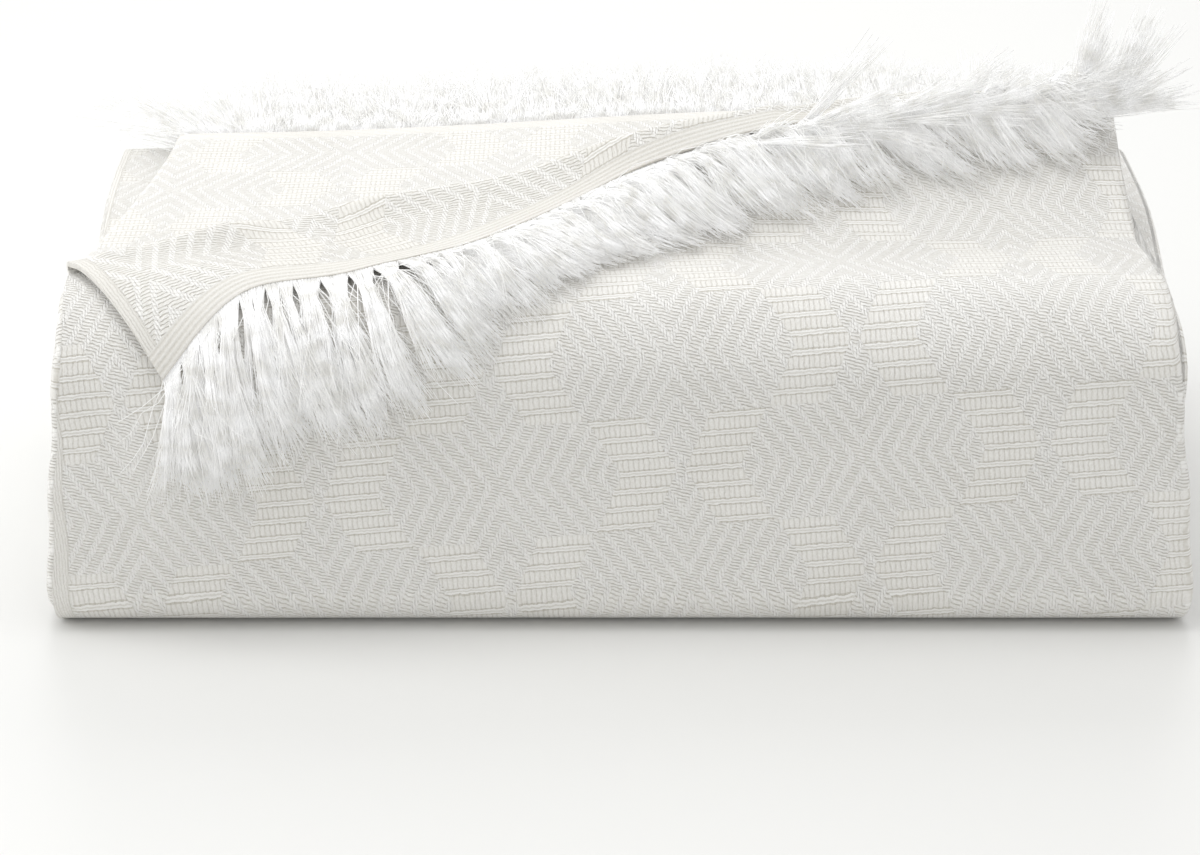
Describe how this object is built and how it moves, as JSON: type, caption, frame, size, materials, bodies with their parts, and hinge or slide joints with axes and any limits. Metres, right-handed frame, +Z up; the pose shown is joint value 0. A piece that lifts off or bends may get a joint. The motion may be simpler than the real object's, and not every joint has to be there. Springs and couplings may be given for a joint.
{
  "type": "folded fringed bedspread",
  "caption": "Cream woven cotton bedspread folded into a flat bundle, its top corner turned back along a slanting ridge, with soft fringe along the ends.",
  "frame": {"origin": "centre of the bundle's box, on the surface it lies on", "axes": "+X to the viewer's right along the long front fold, +Y to the rear where the folded edges are, +Z up"},
  "size_m": [0.5156, 0.3308, 0.2417],
  "materials": {
    "cloth": "off-white jacquard-woven cotton, matt",
    "fringe": "white brushed cotton yarn, loose and fluffy"
  },
  "bodies": {
    "root": {"cloth": "cloth", "fringe_front": "fringe", "fringe_rear": "fringe"}
  },
  "joints": []
}
